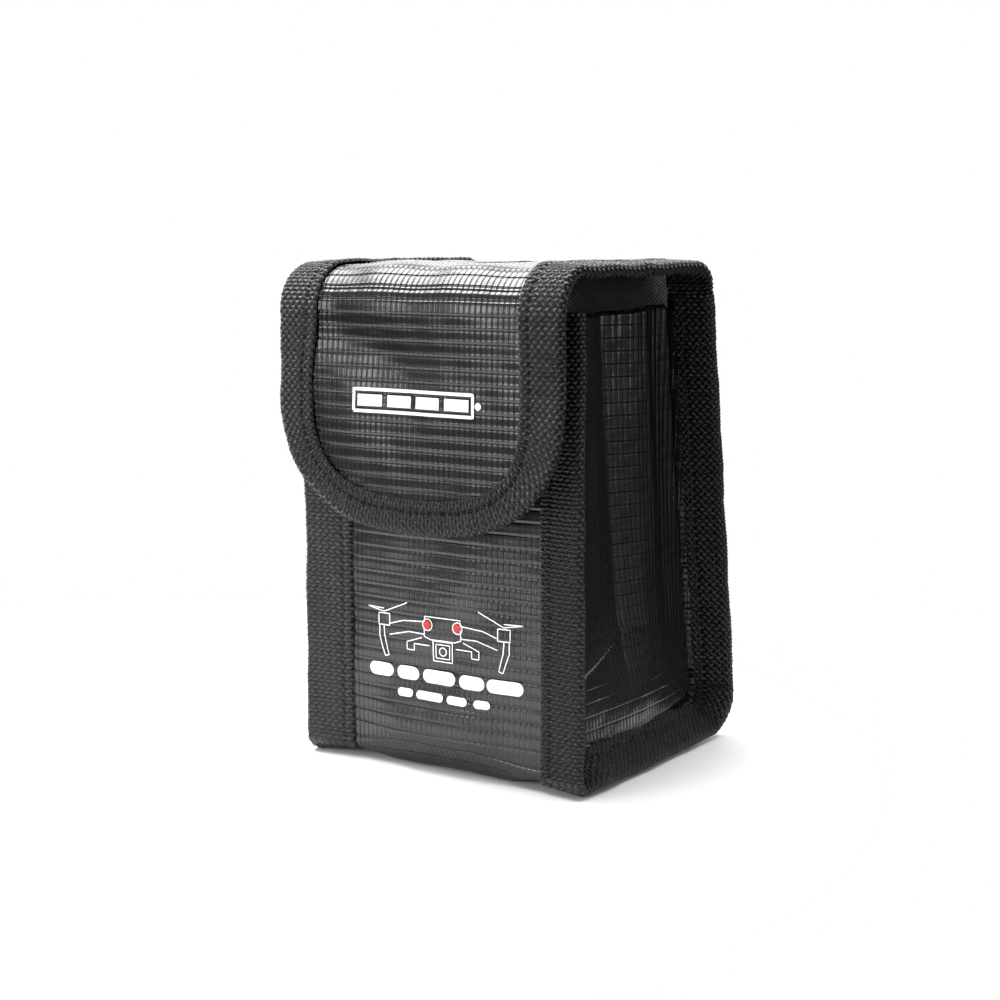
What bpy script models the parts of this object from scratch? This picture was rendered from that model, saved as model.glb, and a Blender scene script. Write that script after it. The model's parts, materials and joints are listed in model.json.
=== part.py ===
"""Fire-resistant safe bag for one drone battery, standing closed.

A box sewn from coated glass cloth: front, bottom and back walls, two creased side gussets, and a flap
that runs over the top and hangs down the front. Every seam is bound in folded woven tape, which stands
out as a fin. The walls are lined. The flap closes with a hook pad on a loop pad.

Axes: X across, front towards -Y, Z up from the floor. The origin is the middle of the base.
"""

import math

import bmesh
import bpy
from mathutils import Vector

MM = 0.001

# Driving dimensions
WIDTH = 73.4 * MM
HEIGHT = 112 * MM
BASE_DEPTH = 62.6 * MM
BACK_LEAN = 11 * MM
MOUTH_HEIGHT = 100.5 * MM
FLAP_STAND_OFF = 8.5 * MM
FLAP_TIP_HEIGHT = 53.7 * MM
FLAP_CORNER_HEIGHT = 30.3 * MM
FLAP_CORNER_POWER = 2.5
FLAP_FOLD_RADIUS = 9.5 * MM
TAPE_WIDTH = 11 * MM
FLAP_TAPE_WIDTH = 9.5 * MM

# Cloth and tape
GAP = 0.3 * MM
CLOTH = 0.8 * MM
LINER = 0.6 * MM
TAPE = 0.8 * MM
HALF_GAP = GAP / 2
SLOT_HALF = HALF_GAP + CLOTH + GAP
TAPE_HALF = SLOT_HALF + TAPE
TAPE_START = 1.6 * MM
CLOTH_END = TAPE_WIDTH - TAPE - GAP
PAD = 2.9 * MM
PAD_WIDTH = 42 * MM
PAD_HEIGHT = 20 * MM
PAD_MIDDLE = 76 * MM
HOOK_PAD = FLAP_STAND_OFF - SLOT_HALF - PAD - GAP - (HALF_GAP + LINER + GAP)

# The bottom panel's flat middle, and where the walls' linings start to clear its rising edges
BOTTOM_FLAT = 18 * MM
BOTTOM_FREE = HALF_GAP + CLOTH + LINER + 2 * GAP
BOTTOM_RISE = 9 * MM

# How far each seam's fin turns out of its own wall, in degrees
FRONT_FLARE = 6
BACK_FLARE_BASE = 30
BACK_FLARE_TOP = 3
BOTTOM_DROP_FRONT = 50
BOTTOM_DROP_BACK = 33
ROOF_DROOP = 4

# Side gussets
CREASE_DEPTH = 5.5 * MM
CREASE_APEX_HEIGHT = 30 * MM
CREASE_SHIFT = 4 * MM
CREASE_EASE = 0.6
BOTTOM_EASE = 4
SEAM_CLEARANCE = 3 * MM
FLANGE_START = 6.5 * MM
GUSSET_ROWS = 9
LEAF_COLUMNS = 4

# Joints between the lengths of tape and between the flap's parts
ROOF_TAPE_SETBACK = 4.5 * MM
BACK_TAPE_SETBACK = 5 * MM
CORNER_CLEARANCE = 2.8 * MM
FOLD_MIDDLE = 45
FOLD_CLOTH_GAP = 2
FOLD_TAPE_GAP = 8
FOLD_STEPS = 5
PIVOT_STAND_OFF = 1.95 * MM
FLOOR_CLEARANCE = 0.3 * MM
WALL_ROWS = 8
TONGUE_ROWS = 10
TONGUE_END = 80
EDGE_STEPS = 12

BACK_FLARE_REACH = TAPE_WIDTH * math.sin(math.radians(BACK_FLARE_BASE))
BACK_TAPE_REACH = BACK_FLARE_REACH + TAPE_HALF * math.cos(math.radians(BACK_FLARE_BASE))
FULL_DEPTH = FLAP_STAND_OFF + TAPE_HALF + BASE_DEPTH + BACK_TAPE_REACH
FRONT_Y = -FULL_DEPTH / 2 + FLAP_STAND_OFF + TAPE_HALF
FLAP_Y = FRONT_Y - FLAP_STAND_OFF
ROOF_Z = HEIGHT - TAPE_HALF * math.cos(math.radians(ROOF_DROOP))
FOLD_Y = FLAP_Y + FLAP_FOLD_RADIUS
FOLD_Z = ROOF_Z - FLAP_FOLD_RADIUS

CORNER_Y = FRONT_Y + BASE_DEPTH - BACK_LEAN * ROOF_Z / HEIGHT

X = Vector((1, 0, 0))
Y = Vector((0, 1, 0))
Z = Vector((0, 0, 1))

# Hinge points of the flap: above the rear corner, and ahead of the front fold
REAR_PIVOT = Vector((0, CORNER_Y + PIVOT_STAND_OFF, ROOF_Z + PIVOT_STAND_OFF))
FOLD_PIVOT = Vector((0, FOLD_Y, FOLD_Z)) + (Z - Y) * (FLAP_FOLD_RADIUS * math.pi / 4)


def clear_scene():
    for obj in list(bpy.data.objects):
        bpy.data.objects.remove(obj, do_unlink=True)


def material(name, colour, roughness):
    made = bpy.data.materials.new(name)
    made.use_nodes = True
    shader = made.node_tree.nodes["Principled BSDF"]
    shader.inputs["Base Color"].default_value = (*colour, 1)
    shader.inputs["Roughness"].default_value = roughness
    shader.inputs["Metallic"].default_value = 0
    made.diffuse_color = (*colour, 1)
    return made


def between(low, high, share):
    return low + (high - low) * share


def turned(first, second, degrees):
    """The direction that lies this many degrees from first towards second."""
    angle = math.radians(degrees)
    return first * math.cos(angle) + second * math.sin(angle)


def mirrored(points):
    """The same row on the left side, read the other way so that it still faces outwards."""
    return [Vector((-point.x, point.y, point.z)) for point in reversed(points)]


def mitre(first, second):
    return (first + second) / (1 + first.dot(second))


def facing(points, axis):
    """Each point of a row with its outward offset, mitred where the row bends."""
    normals = [(b - a).cross(axis).normalized() for a, b in zip(points, points[1:])]
    inner = [mitre(a, b) for a, b in zip(normals, normals[1:])]
    return list(zip(points, [normals[0], *inner, normals[-1]]))


def finish(name, bm, finish_material, origin=None):
    bmesh.ops.recalc_face_normals(bm, faces=bm.faces)
    mesh = bpy.data.meshes.new(name)
    start = origin or Vector()
    bmesh.ops.translate(bm, verts=bm.verts, vec=-start)
    bm.to_mesh(mesh)
    bm.free()
    mesh.materials.append(finish_material)
    obj = bpy.data.objects.new(name, mesh)
    obj.location = start
    bpy.context.scene.collection.objects.link(obj)
    return obj


def skin(name, rows, low, high, finish_material, origin=None, skipped=()):
    """A cloth of even thickness: a grid of (point, offset) pairs, filled from low to high."""
    bm = bmesh.new()
    under = [[bm.verts.new(p + n * low) for p, n in row] for row in rows]
    over = [[bm.verts.new(p + n * high) for p, n in row] for row in rows]
    rim = {}
    for i in range(len(rows) - 1):
        for j in range(len(rows[0]) - 1):
            if (i, j) in skipped:
                continue
            ring = [(i, j), (i + 1, j), (i + 1, j + 1), (i, j + 1)]
            for a, b, c in ((0, 1, 2), (0, 2, 3)):
                corners = [ring[a], ring[b], ring[c]]
                bm.faces.new([over[r][s] for r, s in corners])
                bm.faces.new([under[r][s] for r, s in reversed(corners)])
            for a, b in zip(ring, ring[1:] + ring[:1]):
                if (b, a) in rim:
                    del rim[(b, a)]
                else:
                    rim[(a, b)] = True
    for a, b in rim:
        bm.faces.new([over[b[0]][b[1]], over[a[0]][a[1]], under[a[0]][a[1]], under[b[0]][b[1]]])
    loose = [vert for vert in bm.verts if not vert.link_faces]
    bmesh.ops.delete(bm, geom=loose, context="VERTS")
    return finish(name, bm, finish_material, origin)


def channel(name, stations, width, finish_material, origin=None):
    """Tape folded round an edge. A station is (seam point, way out along the fin, the fin's face)."""
    inside = width - TAPE
    profile = [
        (TAPE_START, TAPE_HALF),
        (width, TAPE_HALF),
        (width, -TAPE_HALF),
        (TAPE_START, -TAPE_HALF),
        (TAPE_START, -SLOT_HALF),
        (inside, -SLOT_HALF),
        (inside, SLOT_HALF),
        (TAPE_START, SLOT_HALF),
    ]
    bm = bmesh.new()
    rings = [[bm.verts.new(p + out * a + face * b) for a, b in profile] for p, out, face in stations]
    count = len(profile)
    for first, second in zip(rings, rings[1:]):
        for k in range(count):
            after = (k + 1) % count
            bm.faces.new([first[k], first[after], second[after]])
            bm.faces.new([first[k], second[after], second[k]])
    for ring in (rings[0], rings[-1]):
        bm.faces.new([ring[0], ring[1], ring[6], ring[7]])
        bm.faces.new([ring[1], ring[2], ring[5], ring[6]])
        bm.faces.new([ring[2], ring[3], ring[4], ring[5]])
    return finish(name, bm, finish_material, origin)


def block(name, low, high, finish_material, origin=None):
    bm = bmesh.new()
    bmesh.ops.create_cube(bm, size=1)
    size = high - low
    bmesh.ops.scale(bm, verts=bm.verts, vec=size)
    bmesh.ops.translate(bm, verts=bm.verts, vec=(low + high) / 2)
    return finish(name, bm, finish_material, origin)


def mirror_stations(stations):
    return [tuple(Vector((-v.x, v.y, v.z)) for v in station) for station in stations]


# Seams of the right side, as (seam point, way out along the fin, the fin's outward face)


def front_seam(z):
    out = turned(X, -Y, FRONT_FLARE)
    return Vector((WIDTH / 2 - TAPE_WIDTH * out.x, FRONT_Y, z)), out, turned(-Y, -X, FRONT_FLARE)


def back_y(z):
    return FRONT_Y + BASE_DEPTH - BACK_LEAN * z / HEIGHT


def back_seam(z):
    flare = between(BACK_FLARE_BASE, BACK_FLARE_TOP, z / HEIGHT)
    out = turned(X, Y, flare)
    return Vector((WIDTH / 2 - TAPE_WIDTH * out.x, back_y(z), z)), out, turned(Y, -X, flare)


def bottom_seam(y):
    drop = between(BOTTOM_DROP_FRONT, BOTTOM_DROP_BACK, (y - FRONT_Y) / BASE_DEPTH)
    out = turned(X, -Z, drop)
    face = turned(-Z, -X, drop)
    height = -TAPE_WIDTH * out.z - TAPE_HALF * face.z + FLOOR_CLEARANCE / 2
    return Vector((WIDTH / 2 - TAPE_WIDTH * out.x, y, height)), out, face


def levels(low, high, count):
    return [between(low, high, k / count) for k in range(count + 1)]


def wall_row(seam, across):
    """A wall's row at one height, from fin end to fin end, in the direction that faces it outwards."""
    point, out, _ = seam
    right = [point + out * CLOTH_END, point]
    left = [Vector((-p.x, p.y, p.z)) for p in reversed(right)]
    row = right + left
    return row if across == "right to left" else list(reversed(row))


def lining_shape(inner, top):
    """Half widths and heights of a wall's lining, which narrows to clear the bottom's rising edges."""
    return (BOTTOM_FLAT - SEAM_CLEARANCE / 2, BOTTOM_FREE), (inner, BOTTOM_RISE), (inner, top)


def make_front(cloth, liner, tape, pad):
    heights = levels(FLOOR_CLEARANCE, MOUTH_HEIGHT - TAPE - GAP, 2)
    rows = [facing(wall_row(front_seam(z), "left to right"), Z) for z in heights]
    skin("front_panel", rows, HALF_GAP, HALF_GAP + CLOTH, cloth)
    inner = front_seam(0)[0].x - SEAM_CLEARANCE
    shape = lining_shape(inner, MOUTH_HEIGHT - TAPE - GAP)
    lining = [facing([Vector((-x, FRONT_Y, z)), Vector((x, FRONT_Y, z))], Z) for x, z in shape]
    skin("front_liner", lining, -HALF_GAP - LINER, -HALF_GAP, liner)
    rim = Vector((0, FRONT_Y, MOUTH_HEIGHT - TAPE_WIDTH))
    ends = [rim + X * (side * (inner + SEAM_CLEARANCE / 2)) for side in (-1, 1)]
    channel("mouth_binding", [(end, Z, -Y) for end in ends], TAPE_WIDTH, tape)
    face = FRONT_Y - SLOT_HALF
    low = Vector((-PAD_WIDTH / 2, face - PAD, PAD_MIDDLE - PAD_HEIGHT / 2))
    high = Vector((PAD_WIDTH / 2, face, PAD_MIDDLE + PAD_HEIGHT / 2))
    block("loop_patch", low, high, pad)


def bottom_row(share, low_y, high_y, fin_low, fin_high):
    """A row of the bottom panel from right to left: its fin, its rising edge and its flat middle."""
    flat_y = between(low_y, high_y, share)
    fin_y = between(fin_low, fin_high, share)
    point, out, _ = bottom_seam(fin_y)
    right = [point + out * CLOTH_END, point, Vector((BOTTOM_FLAT, flat_y, HALF_GAP + CLOTH))]
    left = [Vector((-p.x, p.y, p.z)) for p in reversed(right)]
    return facing(right + left, Y)


def make_bottom(cloth, liner):
    flat = (FRONT_Y + HALF_GAP, back_y(0) - HALF_GAP)
    fin = (FRONT_Y + FLANGE_START, back_y(0) - CORNER_CLEARANCE)
    rows = [bottom_row(share, *flat, *fin) for share in levels(0, 1, WALL_ROWS)]
    skin("bottom_panel", rows, HALF_GAP, HALF_GAP + CLOTH, cloth)
    low = Vector((-BOTTOM_FLAT + LINER, flat[0] + LINER + 2 * GAP, CLOTH + HALF_GAP + HALF_GAP))
    high = Vector((BOTTOM_FLAT - LINER, flat[1] - LINER - 2 * GAP, CLOTH + LINER + GAP))
    block("bottom_liner", low, high, liner)


def make_back(cloth, liner):
    heights = levels(FLOOR_CLEARANCE, ROOF_Z - HALF_GAP, WALL_ROWS)
    rows = [facing(wall_row(back_seam(z), "right to left"), Z) for z in heights]
    skin("back_panel", rows, HALF_GAP, HALF_GAP + CLOTH, cloth)
    inner = back_seam(HEIGHT)[0].x - SEAM_CLEARANCE
    shape = lining_shape(inner, ROOF_Z - LINER - GAP)
    lining = [facing([Vector((x, back_y(z), z)), Vector((-x, back_y(z), z))], Z) for x, z in shape]
    skin("back_liner", lining, -HALF_GAP - LINER, -HALF_GAP, liner)


def crease_depth(z):
    rise = max(0, (z - CREASE_APEX_HEIGHT) / (MOUTH_HEIGHT - CREASE_APEX_HEIGHT))
    return CREASE_DEPTH * rise ** CREASE_EASE


def gusset_line(share):
    """The gusset's row from front bend to rear bend, this share of the way from mouth to bottom seam."""

    def height(y):
        return between(MOUTH_HEIGHT, bottom_seam(y)[0].z, share)

    def at(y, inward):
        z = height(y)
        x = between(front_seam(z)[0].x, back_seam(z)[0].x, (y - FRONT_Y) / BASE_DEPTH)
        x = between(x, bottom_seam(y)[0].x, share ** BOTTOM_EASE)
        return Vector((x - inward, y, z))

    rear = back_y(height(back_y(0)))
    middle = (FRONT_Y + rear) / 2 + CREASE_SHIFT * (1 - share)
    depth = crease_depth(height(middle))
    forward = levels(0, 1, LEAF_COLUMNS)
    line = [at(between(FRONT_Y + FLANGE_START, middle, k), depth * k) for k in forward]
    line += [at(between(middle, rear - SEAM_CLEARANCE, k), depth * (1 - k)) for k in forward[1:]]
    front_bend = front_seam(height(FRONT_Y))[0]
    beside_tape = front_bend + Y * SEAM_CLEARANCE + X * HALF_GAP
    line.insert(0, beside_tape)
    rear_bend = back_seam(height(rear))[0]
    return [front_bend, *line, rear_bend]


def gusset_rows():
    rows = []
    for share in levels(0, 1, GUSSET_ROWS):
        line = gusset_line(share)
        front_out = front_seam(line[0].z)[1]
        back_out = back_seam(line[-1].z)[1]
        line = [line[0] + front_out * CLOTH_END, *line, line[-1] + back_out * CLOTH_END]
        rows.append(facing(line, Z))
    return rows


def bottom_flange(row):
    """The row below the bottom seam, where the gusset turns out into the bottom fin."""
    turned_row, seam_row = [], []
    for point, offset in row:
        _, out, face = bottom_seam(point.y)
        turned_row.append((point + out * CLOTH_END, -face))
        seam_row.append((point, mitre(offset.normalized(), -face)))
    return seam_row, turned_row


def left_of(rows):
    return [list(reversed(mirror_stations(row))) for row in rows]


def make_gussets(cloth, liner):
    rows = gusset_rows()
    seam_row, flange_row = bottom_flange(rows[-1])
    last = len(rows) - 1
    edge = len(rows[0]) - 2
    outer = rows[:-1] + [[*rows[-1][:3], *seam_row[3:-2], *rows[-1][-2:]], flange_row]
    corners = {(last, j) for j in (0, 1, 2, edge - 1, edge)}
    lining = [row[2:-2] for row in rows[:-1]]
    skin("right_gusset", outer, HALF_GAP, HALF_GAP + CLOTH, cloth, skipped=corners)
    skin("right_gusset_liner", lining, -HALF_GAP - LINER, -HALF_GAP, liner)
    left_corners = {(i, edge - j) for i, j in corners}
    skin("left_gusset", left_of(outer), HALF_GAP, HALF_GAP + CLOTH, cloth, skipped=left_corners)
    skin("left_gusset_liner", left_of(lining), -HALF_GAP - LINER, -HALF_GAP, liner)


def make_side_bindings(tape):
    front = [front_seam(z) for z in (FLOOR_CLEARANCE, MOUTH_HEIGHT)]
    back = [back_seam(z) for z in levels(FLOOR_CLEARANCE, ROOF_Z - BACK_TAPE_SETBACK, WALL_ROWS)]
    ends = (FRONT_Y + FLANGE_START, back_y(0) - CORNER_CLEARANCE)
    bottom = [bottom_seam(y) for y in levels(*ends, WALL_ROWS)]
    for place, stations in (("front", front), ("bottom", bottom), ("back", back)):
        channel(f"right_{place}_binding", stations, TAPE_WIDTH, tape)
        channel(f"left_{place}_binding", mirror_stations(stations), TAPE_WIDTH, tape)


# The flap. Its path starts at the rear corner, runs forward over the roof, turns down and ends at the tip.


def roof_seam(y):
    out = turned(X, -Z, ROOF_DROOP)
    return Vector((WIDTH / 2 - TAPE_WIDTH * out.x, y, ROOF_Z)), out, turned(Z, X, ROOF_DROOP)


def fold_seam(degrees):
    """The seam on the front fold, which loses the roof's droop on its way down."""
    face = turned(Z, -Y, degrees)
    droop = ROOF_DROOP * (1 - degrees / 90)
    out = turned(X, -face, droop)
    point = Vector((0, FOLD_Y, FOLD_Z)) + face * FLAP_FOLD_RADIUS
    point.x = WIDTH / 2 - TAPE_WIDTH * out.x
    return point, out, turned(face, X, droop)


def flap_row(seam):
    point, out, face = seam
    right = [point, point + out * CLOTH_END]
    left = [Vector((-p.x, p.y, p.z)) for p in reversed(right)]
    middle = (face - X * face.x).normalized()
    return facing(left + right, middle.cross(X))


def make_roof(cloth, liner, tape):
    flats = levels(CORNER_Y - GAP, FOLD_Y, 1)
    curve = levels(0, FOLD_MIDDLE - FOLD_CLOTH_GAP, FOLD_STEPS)[1:]
    rows = [flap_row(roof_seam(y)) for y in flats] + [flap_row(fold_seam(a)) for a in curve]
    skin("flap_top_panel", rows, HALF_GAP, HALF_GAP + CLOTH, cloth, REAR_PIVOT)
    inner = [row[1:-1] for row in rows]
    inner[0] = [(p - Y * (LINER + GAP + GAP), n) for p, n in inner[0]]
    narrow = []
    for row in inner:
        narrow.append([(p - X * math.copysign(SEAM_CLEARANCE, p.x), middle_offset(n)) for p, n in row])
    skin("flap_top_liner", narrow, -HALF_GAP - LINER, -HALF_GAP, liner, REAR_PIVOT)
    curve = levels(0, FOLD_MIDDLE - FOLD_TAPE_GAP, FOLD_STEPS)[1:]
    stations = [roof_seam(y) for y in (CORNER_Y - ROOF_TAPE_SETBACK, FOLD_Y)]
    stations += [fold_seam(angle) for angle in curve]
    channel("flap_right_binding", stations, TAPE_WIDTH, tape, REAR_PIVOT)
    channel("flap_left_binding", mirror_stations(stations), TAPE_WIDTH, tape, REAR_PIVOT)


def middle_offset(offset):
    return Vector((0, offset.y, offset.z)).normalized()


def half_width(z, inset=0):
    """Half the tongue's width at this height: straight sides that round in to the tip."""
    corner = FLAP_TIP_HEIGHT + FLAP_CORNER_HEIGHT
    drop = max(0, (corner - z) / (FLAP_CORNER_HEIGHT - inset))
    return (WIDTH / 2 - inset) * max(0, 1 - drop ** FLAP_CORNER_POWER) ** (1 / FLAP_CORNER_POWER)


def outline_point(share):
    """A point of the tongue's rounded corner, from its side (0) to its tip (1)."""
    angle = math.radians(90) * share
    x = WIDTH / 2 * math.cos(angle) ** (2 / FLAP_CORNER_POWER)
    z = FLAP_TIP_HEIGHT + FLAP_CORNER_HEIGHT * (1 - math.sin(angle) ** (2 / FLAP_CORNER_POWER))
    return Vector((x, FLAP_Y, z))


def edge_stations():
    """The tape's stations from the right end of the fold, down, round the tip and up to the left end."""
    curve = levels(FOLD_MIDDLE + FOLD_TAPE_GAP, 90, FOLD_STEPS)
    right = [seam_from_edge(fold_seam(a)) for a in curve]
    corner = [outline_point(share) for share in levels(0, 1, EDGE_STEPS)]
    for before, point, after in zip(corner, corner[1:], corner[2:]):
        out = (after - before).cross(Y).normalized()
        right.append((point - out * FLAP_TAPE_WIDTH, out, -Y))
    tip = (Vector((0, FLAP_Y, FLAP_TIP_HEIGHT + FLAP_TAPE_WIDTH)), -Z, -Y)
    return right + [tip] + list(reversed(mirror_stations(right)))


def seam_from_edge(seam):
    """The same seam with its tape only as wide as the tongue's."""
    point, out, face = seam
    return point + out * (TAPE_WIDTH - FLAP_TAPE_WIDTH), out, face


def tongue_row(z, inset):
    edge = half_width(z, inset)
    bend = edge * (1 - TAPE_WIDTH / (WIDTH / 2))
    return facing([Vector((x, FLAP_Y, z)) for x in (-edge, -bend, bend, edge)], Z)


def make_tongue(cloth, liner, tape, pad):
    cloth_inset = TAPE + GAP
    curve = levels(FOLD_MIDDLE + FOLD_CLOTH_GAP, 90, FOLD_STEPS)
    folded = [flap_row(fold_seam(angle)) for angle in curve]
    tip = FLAP_TIP_HEIGHT + cloth_inset
    corner = tip + FLAP_CORNER_HEIGHT - cloth_inset
    turns = [math.radians(angle) for angle in levels(0, TONGUE_END, TONGUE_ROWS)]
    steps = [corner - (corner - tip) * math.sin(turn) for turn in turns]
    rows = folded + [tongue_row(z, cloth_inset) for z in steps]
    skin("flap_front_panel", rows, HALF_GAP, HALF_GAP + CLOTH, cloth, FOLD_PIVOT)
    lining = [[(p - X * math.copysign(GAP, p.x), n) for p, n in row] for row in rows]
    skin("flap_front_liner", lining, -HALF_GAP - LINER, -HALF_GAP, liner, FOLD_PIVOT)
    channel("flap_edge_binding", edge_stations(), FLAP_TAPE_WIDTH, tape, FOLD_PIVOT)
    face = FLAP_Y + HALF_GAP + LINER + GAP
    low = Vector((-PAD_WIDTH / 2, face, PAD_MIDDLE - PAD_HEIGHT / 2))
    high = Vector((PAD_WIDTH / 2, face + HOOK_PAD, PAD_MIDDLE + PAD_HEIGHT / 2))
    block("hook_patch", low, high, pad, FOLD_PIVOT)


def main():
    clear_scene()
    cloth = material("coated_cloth", (0.035, 0.035, 0.037), 0.32)
    liner = material("lining_cloth", (0.30, 0.30, 0.31), 0.6)
    tape = material("woven_tape", (0.045, 0.045, 0.047), 0.75)
    pad = material("hook_and_loop", (0.02, 0.02, 0.02), 0.9)
    make_front(cloth, liner, tape, pad)
    make_bottom(cloth, liner)
    make_back(cloth, liner)
    make_gussets(cloth, liner)
    make_side_bindings(tape)
    make_roof(cloth, liner, tape)
    make_tongue(cloth, liner, tape, pad)


main()
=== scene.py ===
"""Looks of the battery safe bag: coated glass cloth, woven tape, linings, closing pads and prints."""

import json
import math

import bpy
import numpy as np
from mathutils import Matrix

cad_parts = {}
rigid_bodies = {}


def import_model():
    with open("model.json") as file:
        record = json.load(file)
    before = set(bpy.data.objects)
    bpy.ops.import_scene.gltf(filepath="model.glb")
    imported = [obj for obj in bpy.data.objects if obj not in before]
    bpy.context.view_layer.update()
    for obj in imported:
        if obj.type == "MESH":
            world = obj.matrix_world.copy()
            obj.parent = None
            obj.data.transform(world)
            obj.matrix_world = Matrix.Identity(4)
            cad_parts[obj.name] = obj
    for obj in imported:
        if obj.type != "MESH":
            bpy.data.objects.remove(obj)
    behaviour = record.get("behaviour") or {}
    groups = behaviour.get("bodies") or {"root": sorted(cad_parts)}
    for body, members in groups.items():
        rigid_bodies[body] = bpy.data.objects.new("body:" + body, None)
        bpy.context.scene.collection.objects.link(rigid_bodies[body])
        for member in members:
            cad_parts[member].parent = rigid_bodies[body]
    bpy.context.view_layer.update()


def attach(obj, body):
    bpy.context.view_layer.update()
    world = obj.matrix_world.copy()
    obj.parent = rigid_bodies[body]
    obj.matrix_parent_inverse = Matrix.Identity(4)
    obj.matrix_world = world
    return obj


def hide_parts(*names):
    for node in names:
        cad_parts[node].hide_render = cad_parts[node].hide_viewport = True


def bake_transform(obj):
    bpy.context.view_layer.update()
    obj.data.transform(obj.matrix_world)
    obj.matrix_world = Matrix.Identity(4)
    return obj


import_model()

MM = 0.001
HAIR = 1e-9

# Sizes of the bag, in millimetres, as the CAD part has them
HALF_WIDTH = 36.7
HEIGHT = 112.0
BASE_DEPTH = 62.6
BACK_LEAN = 11.0
MOUTH = 100.5
FRONT_Y = -29.663
FLAP_Y = -38.163
ROOF_Z = 109.955
FOLD_RADIUS = 9.5
ROOF_DROOP = 4.0
FOLD_Y = FLAP_Y + FOLD_RADIUS
FOLD_Z = ROOF_Z - FOLD_RADIUS
TAPE_WIDTH = 11.0
TIP_Z = 53.7
CORNER_RISE = 30.3
CORNER_POWER = 2.5

# Rounding of the seams where the walls meet
FRONT_CORNER = 1.8
BACK_CORNER = 4.0
FOLD_LINE = 5.2
BACK_FOLD = 8.0
TOP_CORNER = 4.5

# Heights at which the wall strip's parts meet, and how many rows each part has
WALL_TOP = MOUTH + 0.5
CREASE_TOP = FOLD_LINE + 3
BACK_TOP = ROOF_Z - TOP_CORNER - 2
WALL_ROWS = 60
CREASE_ROWS = 4
BOTTOM_ROWS = 40
ROUND_ROWS = 13

# Cloth: its faces' distances from the base surface, its weave's pitches, and the steps of its meshes.
# FLANGE is the strip sewn into the fins. FLOOR_SKIN keeps all of it off the floor.
CLOTH_FACE = 0.55
LINING_DROP = 0.75
FLANGE = 4.0
BASE_Z = 0.55
ROW_PITCH = 2.85
COLUMN_PITCH = 1.36
CLOTH_STEP = 0.4
FLAP_STEP = 0.3
GUSSET_STEP = 0.36
FLANGE_STEPS = (0.0, 0.5, 1.5, 3.0)
FLOOR_SKIN = 0.05

# How each wall row rises to the fins: where the rise starts across it, and its power
FACE_PULL = (6.0, 2.0)
FLOOR_PULL = (15.0, 2.0)

# Tape. Its inner edge on each face lies this far from the seam, at the run's start and at its end.
TAPE_HALF = 1.4
EVEN_STARTS = ((0.3, 0.3), (0.3, 0.3))
TAPE_STARTS = {"right": ((0.5, 0.5), (1.4, 1.4)), "left": ((1.4, 1.4), (-1.9, 0.5))}
TAPE_STEP = 0.3
FACE_COLUMNS = 28
TURN_COLUMNS = 9
FLOAT_LENGTH = 1.75
FLOAT_WIDTH = 0.9
FLOAT_LEAN = 0.3
FLOAT_FILL = 2.1
WEAVE_HEIGHT = 0.28
STITCH_INSET = 2.6
STITCH_PITCH = 4.2
STITCH_DEPTH = 0.42
PUCKER_DEPTH = 0.16

# Where the two cloths of the flap meet on the roof, and the line sewn across its fold
SPLIT_Y = -3.0
FOLD_SEAM = SPLIT_Y - FOLD_Y + FOLD_RADIUS * math.radians(62)
DRAWN_PITCH = 3.4

# Side gussets. Inward depth of the right one, front (0) to back (1): at the mouth, at the fold's apex
# and at the base.
APEX_Z = 30.0
MOUTH_SHIFT = 1.27
GUSSET_PLACES = (0.0, 0.08, 0.2, 0.34, 0.46, 0.5, 0.54, 0.66, 0.76, 0.86, 0.93, 1.0)
GUSSET_MOUTH = (0.0, -0.2, 0.2, 1.6, 4.6, 5.6, 4.6, 1.6, 0.4, 2.6, 1.8, 0.0)
GUSSET_APEX = (0.0, -0.5, -0.9, -0.7, 0.2, 0.9, 0.1, -1.0, -0.7, 0.6, 0.5, 0.0)
GUSSET_BASE = (0.0, -0.6, -1.3, -1.7, -1.9, -1.9, -1.9, -1.7, -1.3, -0.6, -0.3, 0.0)
HEM = 0.9
MOUTH_TAPE_X = 24.5

# Closing pads
PAD_WIDTH = 42.0
PAD_HEIGHT = 20.0
PAD_MIDDLE = 76.0
PAD_THICKNESS = 2.1
PAD_EASE = 0.4
LOOP_Y = FRONT_Y - 2.25
HOOK_Y = FLAP_Y + 1.95

# Prints. The drone's lines are (x, z) from its own middle, DRONE_X; a label row is its height z, how
# tall its bars are, and each bar's middle and width.
INK_LIFT = 0.16
LAMP_LIFT = 0.36
FACE_CELL = 0.8
FINE_LINE = 0.24
DRONE_X = 1.2
DRONE_SIDE = (
    ((4.6, 33.6), (10.5, 33.2), (14.6, 32.0)),
    ((4.6, 30.8), (9.0, 30.9), (14.4, 29.6)),
    ((14.4, 34.2), (17.4, 34.2), (17.4, 31.6), (14.4, 31.6), (14.4, 34.2)),
    ((16.0, 31.6), (15.8, 29.0), (14.6, 25.0), (15.7, 24.7), (17.2, 29.0), (17.2, 31.6)),
    ((15.9, 34.6), (10.2, 36.9), (9.4, 37.3)),
    ((15.9, 34.6), (20.6, 35.4), (15.9, 35.3)),
    ((5.4, 30.0), (9.6, 28.6), (9.6, 26.9), (7.6, 26.9), (7.6, 28.4), (3.4, 28.4)),
)
DRONE_BODY = ((-4.6, 34.8), (4.6, 34.8), (4.8, 30.4), (3.2, 29.8), (-3.2, 29.8), (-4.8, 30.4), (-4.6, 34.8))
LAMPS = ((-2.7, 33.0), (5.1, 33.0))
LAMP_WIDTH = 1.9
LAMP_RING = 1.25
LENS_RING = 0.9
CAMERA_Z = 27.4
CAMERA_BOXES = ((5.0, 4.4), (3.6, 3.0))
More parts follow.
